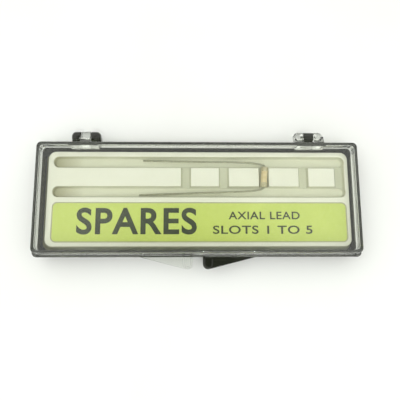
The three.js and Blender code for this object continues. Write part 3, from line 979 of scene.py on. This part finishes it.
# %% Paper
def green_paper():
    material, tree, place = new_material("paper_uncoated_green")
    along_paper = add(tree, "Mapping", {"Vector": place, "Scale": (1 / 3, 1, 1)})
    fibres = add(tree, "TexNoise", {"Vector": along_paper, "Scale": per_metre(0.35), "Detail": 4})
    cloud = add(tree, "TexNoise", {"Vector": place, "Scale": per_metre(6), "Detail": 3})
    shade = add(tree, "MapRange", {"Value": cloud, **MOSTLY})
    greens = {"Factor": shade, 6: colour("#c2d166"), 7: colour("#c8d66c")}
    body = add(tree, "Mix", greens, data_type="RGBA")
    pale = add(tree, "MapRange", {"Value": fibres, "From Min": 0.45, "From Max": 0.75, "To Max": 0.22})
    fibrous = add(tree, "Mix", {"Factor": pale, 6: body, 7: colour("#e4ebae")}, data_type="RGBA")
    matt = add(tree, "MapRange", {"Value": fibres, **MOSTLY, "To Min": 0.6, "To Max": 0.8})
    felted = add(tree, "Bump", {"Height": fibres, "Distance": 0.012 * MM, "Strength": 0.4})
    paper = {"Base Color": fibrous, "Roughness": matt, "Normal": felted, "Sheen Weight": 0.1}
    return finished(material, add(tree, "BsdfPrincipled", paper))


finish_piece(paper_piece, "label_sheet", green_paper(), "base", ["label"])

# %% Ink
def olive_ink():
    material, tree, place = new_material("ink_olive_printed")
    soaked = add(tree, "TexNoise", {"Vector": place, "Scale": per_metre(0.25), "Detail": 3})
    worn = add(tree, "TexNoise", {"Vector": place, "Scale": per_metre(2.5), "Detail": 2})
    shade = add(tree, "MapRange", {"Value": worn, **MOSTLY})
    olives = {"Factor": shade, 6: colour("#2b3222"), 7: colour("#39412c")}
    body = add(tree, "Mix", olives, data_type="RGBA")
    sunk = add(tree, "MapRange", {"Value": soaked, "From Min": 0.62, "From Max": 0.8, "To Max": 0.45})
    thin = add(tree, "Mix", {"Factor": sunk, 6: body, 7: colour("#7e8a55")}, data_type="RGBA")
    matt = add(tree, "MapRange", {"Value": soaked, **MOSTLY, "To Min": 0.45, "To Max": 0.7})
    uneven = add(tree, "Bump", {"Height": soaked, "Distance": 0.004 * MM, "Strength": 0.3})
    ink = {"Base Color": thin, "Roughness": matt, "Normal": uneven}
    return finished(material, add(tree, "BsdfPrincipled", ink))


finish_piece(print_piece, "label_print", olive_ink(), "base", angle=30)

# %% [markdown]
# ## The fuse
# The fuse is a small ceramic tube, varnished tan, with a pressed cap over each end and a wire lead
# welded to each cap. It lies a few degrees askew in its slot. Modelling it askew would make each size
# awkward, so its pieces are made straight along Y about the origin, and then turned and put where the
# CAD tube's middle is.

# %% Ceramic tube
FUSE_TURN = -0.084
FUSE_HALF = 3.5
TUBE_RADIUS = 1.08
TUBE_HALF = 3.17
TUBE_EDGE = 0.06
BORE_RADIUS = 0.65
PAST_END = 1  # how far a cutter runs on past what it cuts
tube_low, tube_high = box_mm("fuse_tube")
fuse_middle = (tube_low + tube_high) / 2
in_slot = Matrix.Translation(fuse_middle) @ Matrix.Rotation(FUSE_TURN, 4, "Z")


def fuse_tube():
    piece = rod((0, -TUBE_HALF, 0), (0, TUBE_HALF, 0), TUBE_RADIUS)
    bore = rod((0, -TUBE_HALF - PAST_END, 0), (0, TUBE_HALF + PAST_END, 0), BORE_RADIUS)
    piece = soften(combine(piece, bore, "DIFFERENCE"), TUBE_EDGE, segments=2, angle=50)
    piece.data.transform(in_slot)
    return piece


tube_piece = fuse_tube()
tell("tube", tube_piece)

# %% Caps
CAP_RADIUS = 1.2
CAP_LENGTH = 1.5
CAP_WALL = 0.09
CAP_END_WALL = 0.3
CAP_END_ROUND = 0.28
CAP_MOUTH_ROUND = 0.05


def fuse_cap(side):
    """A pressed cup. Its end is rounded, and its mouth is rolled in a little round the tube."""
    mouth, end = side * (FUSE_HALF - CAP_LENGTH), side * FUSE_HALF
    piece = rod((0, mouth, 0), (0, end, 0), CAP_RADIUS)
    edit(piece)
    pick("FACE", lambda p: abs(p.y - end) < NEAR)
    bpy.ops.mesh.bevel(offset=CAP_END_ROUND, segments=5, affect="EDGES")
    pick("FACE", lambda p: abs(p.y - mouth) < NEAR)
    bpy.ops.mesh.bevel(offset=CAP_MOUTH_ROUND, segments=2, affect="EDGES")
    leave_edit()
    cup_floor = end - side * CAP_END_WALL
    cup = rod((0, mouth - side * PAST_END, 0), (0, cup_floor, 0), CAP_RADIUS - CAP_WALL)
    piece = combine(piece, cup, "DIFFERENCE")
    piece.data.transform(in_slot)
    return piece


back_cap, front_cap = fuse_cap(1), fuse_cap(-1)
tell("cap", back_cap)

# %% [markdown]
# Each lead is drawn wire of 0.635 mm. It was bent by hand: it leaves its cap, sweeps round to lie along
# its groove, and slopes down until its tip rests on the floor.
#
# A row of rods would show a kink at each joint. A Bezier curve through the route's points, with a round
# bevel, keeps the wire round and its bends smooth, and is then turned into a mesh. The points are the
# CAD lead's own. A flattened ball is the weld at the cap.

# %% Leads
LEAD_RADIUS = 0.3175
BACK_REACH, FRONT_REACH = 41.15, 42.25
TIP_FROM_BACK_WALL, TIP_FROM_FRONT_WALL = 1.1, 0.9
CAP_TO_LEAD = 0.03
WELD_RADIUS = 0.5
WELD_FLATNESS = 0.45
SWEEP = (  # how far along the groove, and how far out from the cap
    (0, 0),
    (0, 0.15),
    (0.25, 0.48),
    (0.9, 0.76),
    (2.9, 1.14),
    (6.2, 1.45),
)


def lead_route(side, reach, node):
    """The points of a lead, from its cap to its tip on the groove's floor."""
    out = Vector((-math.sin(FUSE_TURN), math.cos(FUSE_TURN), 0)) * side
    start = fuse_middle + out * (FUSE_HALF + CAP_TO_LEAD)
    route = [start + out * outwards + Vector((-along, 0, 0)) for along, outwards in SWEEP]
    back_tip, front_tip = back_groove[3] - TIP_FROM_BACK_WALL, front_groove[2] + TIP_FROM_FRONT_WALL
    tip_height = box_mm(node)[0].z + LEAD_RADIUS
    tip = Vector((fuse_middle.x - reach, back_tip if side > 0 else front_tip, tip_height))
    return [*route, route[-1].lerp(tip, 0.5), tip]


def wire_along(route):
    bpy.ops.object.select_all(action="DESELECT")
    bpy.ops.curve.primitive_bezier_curve_add(location=(0, 0, 0))
    wire = bpy.context.object
    knots = wire.data.splines[0].bezier_points
    knots.add(len(route) - len(knots))
    for knot, point in zip(knots, route):
        knot.co = point
        knot.handle_left_type = knot.handle_right_type = "AUTO"
    wire.data.dimensions = "3D"
    wire.data.resolution_u = 14
    wire.data.bevel_depth = LEAD_RADIUS
    wire.data.bevel_resolution = 4
    wire.data.use_fill_caps = True
    bpy.ops.object.convert(target="MESH")
    return close_up(bpy.context.object)


def lead(side, reach, node):
    wire = wire_along(lead_route(side, reach, node))
    bpy.ops.object.select_all(action="DESELECT")
    bpy.ops.mesh.primitive_uv_sphere_add(
        segments=32, ring_count=16, radius=WELD_RADIUS, location=(0, 0, 0)
    )
    weld = bpy.context.object
    flattened = Matrix.Diagonal((1, WELD_FLATNESS, 1, 1))
    weld.data.transform(in_slot @ Matrix.Translation((0, side * FUSE_HALF, 0)) @ flattened)
    return combine(wire, weld)


back_lead, front_lead = lead(1, BACK_REACH, "lead_back"), lead(-1, FRONT_REACH, "lead_front")
tell("back lead", back_lead)
tell("front lead", front_lead)

# %% [markdown]
# Tinned metal dulls to a warm grey, with the brass of the caps showing faintly where the tin is thin.
# The wire is duller still and carries draw lines along its length, which stretched noise gives. All
# four metals differ only in shade, dullness and the way of their lines, so one function makes them.

# %% Metals
def dulled_metal(name, dark, light, roughness, line_stretch):
    material, tree, place = new_material(name)
    drawn_out = [1 / part for part in line_stretch]
    along_lines = add(tree, "Mapping", {"Vector": place, "Scale": drawn_out})
    blotches = add(tree, "TexNoise", {"Vector": place, "Scale": per_metre(0.8), "Detail": 4})
    lines = add(tree, "TexNoise", {"Vector": along_lines, "Scale": per_metre(0.06), "Detail": 2})
    shade = add(tree, "MapRange", {"Value": blotches, **MOSTLY})
    greys = {"Factor": shade, 6: colour(dark), 7: colour(light)}
    body = add(tree, "Mix", greys, data_type="RGBA")
    dullness = {"To Min": roughness, "To Max": roughness + 0.2}
    dull = add(tree, "MapRange", {"Value": blotches, **MOSTLY, **dullness})
    lined = add(tree, "Bump", {"Height": lines, "Distance": 0.006 * MM, "Strength": 0.5})
    metal = {"Base Color": body, "Metallic": 1.0, "Roughness": dull, "Normal": lined}
    return finished(material, add(tree, "BsdfPrincipled", metal))


cap_metal = dulled_metal("brass_tinned_pressed", "#b8ad86", "#d9d2b4", 0.25, (6, 1, 6))
lead_metal = dulled_metal("copper_tinned_drawn", "#8f8f78", "#b5b59c", 0.38, (12, 1, 1))
solder_metal = dulled_metal("solder_dull", "#8d8d8a", "#a9a9a6", 0.4, (1, 1, 1))
element_metal = dulled_metal("fuse_wire_drawn", "#b9b4a8", "#d6d2c6", 0.25, (1, 12, 1))

# %% [markdown]
# The ceramic is fired clay, dull and finely pitted, under a clear varnish that has gone a little
# yellow. The varnish is the shader's coat, so that the pits stay soft under its shine.

# %% Varnished ceramic
def varnished_ceramic():
    material, tree, place = new_material("ceramic_varnished_tan")
    cloud = add(tree, "TexNoise", {"Vector": place, "Scale": per_metre(1.2), "Detail": 3})
    pores = add(tree, "TexNoise", {"Vector": place, "Scale": per_metre(0.1), "Detail": 2})
    shade = add(tree, "MapRange", {"Value": cloud, **MOSTLY})
    tans = {"Factor": shade, 6: colour("#d2bd8a"), 7: colour("#e3d3a6")}
    body = add(tree, "Mix", tans, data_type="RGBA")
    dull = add(tree, "MapRange", {"Value": cloud, **MOSTLY, "To Min": 0.4, "To Max": 0.55})
    pitted = add(tree, "Bump", {"Height": pores, "Distance": 0.012 * MM, "Strength": 0.4})
    varnish = {"Coat Weight": 0.6, "Coat Roughness": 0.15}
    ceramic = {"Base Color": body, "Roughness": dull, "Normal": pitted, **varnish}
    return finished(material, add(tree, "BsdfPrincipled", ceramic))


# %% The fuse's shown pieces
tan = varnished_ceramic()
finish_piece(tube_piece, "fuse_ceramic_tube", tan, "fuse", ["fuse_tube"])
finish_piece(back_cap, "fuse_cap_pressed_back", cap_metal, "fuse", ["fuse_cap_back"])
finish_piece(front_cap, "fuse_cap_pressed_front", cap_metal, "fuse", ["fuse_cap_front"])
finish_piece(back_lead, "fuse_lead_back", lead_metal, "fuse", ["lead_back"], angle=50)
finish_piece(front_lead, "fuse_lead_front", lead_metal, "fuse", ["lead_front"], angle=50)

# %% [markdown]
# The element and the solder inside the fuse can't be seen from outside. Their CAD shapes are right, so
# they stay and only get their metals.

# %% Inside the fuse
for node, metal in (
    ("fuse_element", element_metal),
    ("solder_back", solder_metal),
    ("solder_front", solder_metal),
):
    inside = frame["nodes"][node]
    inside.data.materials.clear()
    inside.data.materials.append(metal)
    print(node, "keeps its CAD shape")

# %% [markdown]
# ## Floor and light
# The case lies on matt white card. A plane does, with its edge far outside the camera's view. It lies a
# twentieth of a millimetre low, because two faces in one plane show as a broken pattern where the case
# rests on it.

# %% Floor
FLOOR_SIZE = 4
FLOOR_DROP = 0.05 * MM


def white_card():
    material, tree, place = new_material("card_white_matt")
    cloud = add(tree, "TexNoise", {"Vector": place, "Scale": per_metre(60), "Detail": 3})
    fibres = add(tree, "TexNoise", {"Vector": place, "Scale": per_metre(0.5), "Detail": 3})
    shade = add(tree, "MapRange", {"Value": cloud, **MOSTLY})
    whites = {"Factor": shade, 6: colour("#ebece8"), 7: colour("#eff1ee")}
    body = add(tree, "Mix", whites, data_type="RGBA")
    matt = add(tree, "MapRange", {"Value": cloud, **MOSTLY, "To Min": 0.75, "To Max": 0.85})
    felted = add(tree, "Bump", {"Height": fibres, "Distance": 0.01 * MM, "Strength": 0.2})
    card = {"Base Color": body, "Roughness": matt, "Normal": felted, "Specular IOR Level": 0.2}
    return finished(material, add(tree, "BsdfPrincipled", card))


bpy.ops.object.select_all(action="DESELECT")
bpy.ops.mesh.primitive_plane_add(size=FLOOR_SIZE, location=(0, 0, -FLOOR_DROP))
floor = bpy.context.object
floor.name = "floor"
floor.data.materials.append(white_card())
print("the floor is", FLOOR_SIZE, "m wide")

# %% [markdown]
# The clear walls show whatever is around them, so the sky matters more than the lamps. It is bright
# half way up, greyer towards the horizon, as a room is, and dark right overhead, where somebody leans
# over the case. The dark parts draw the dark lines along the clear walls.

# %% Sky
SKY_STRENGTH = 1.2
SKY = (
    (0.0, "#b4b5ae"),
    (0.3, "#d2d3cd"),
    (0.55, "#f4f5f2"),
    (0.7, "#ffffff"),
    (0.88, "#e2e3df"),
    (0.955, "#d2d3cf"),
    (0.975, "#bfc0bc"),
    (0.993, "#5c5d5a"),
)
world = bpy.data.worlds.new("soft_room")
bpy.context.scene.world = world
world.use_nodes = True
sky = world.node_tree
sky.nodes.clear()
height = add(sky, "SeparateXYZ", {0: add(sky, "TexCoord").outputs["Generated"]}).outputs["Z"]
sky_ramp = add(sky, "ValToRGB", {"Fac": height})
stops = sky_ramp.color_ramp.elements
stops.remove(stops[0])
for part, code in SKY:
    stops.new(part).color = colour(code)
stops.remove(stops[-1])
backdrop = add(sky, "Background", {"Color": sky_ramp, "Strength": SKY_STRENGTH})
add(sky, "OutputWorld", {"Surface": backdrop})
print("the sky has", len(stops), "shades")

# %% [markdown]
# A wide lamp at the left is the window, and gives the soft shadow round the case. A smaller one
# overhead brightens the tray through the lid. Both are hidden from reflections and from what the clear
# plastic passes on, because they would lie over the lid as a pale veil. Two small far lamps are left
# to be reflected, for short glints on the edges that face the front.

# %% Lamps
def lamp(name, place, aim, size, power):
    bpy.ops.object.light_add(type="AREA", location=place)
    light = bpy.context.object
    light.name = name
    light.rotation_euler = (Vector(aim) - Vector(place)).to_track_quat("-Z", "Y").to_euler()
    light.data.shape = "RECTANGLE"
    light.data.size, light.data.size_y = size
    light.data.energy = power
    print(name, "lamp of", power, "W")
    return light


CASE = (0, 0, 0)
window = lamp("window", (-0.8, 0.35, 1.15), CASE, (1.3, 1.1), 3.6)
ceiling = lamp("ceiling", (0.05, -0.2, 1.3), CASE, (0.45, 0.3), 1.3)
for wide in (window, ceiling):
    wide.visible_glossy = False
    wide.visible_transmission = False
lamp("glint_left", (0.03, -0.5, 1.0), CASE, (0.025, 0.03), 0.7)
lamp("glint_right", (0.16, -0.5, 1.0), (0.015, 0, 0), (0.04, 0.03), 0.9)
bpy.context.scene.view_settings.view_transform = "Standard"
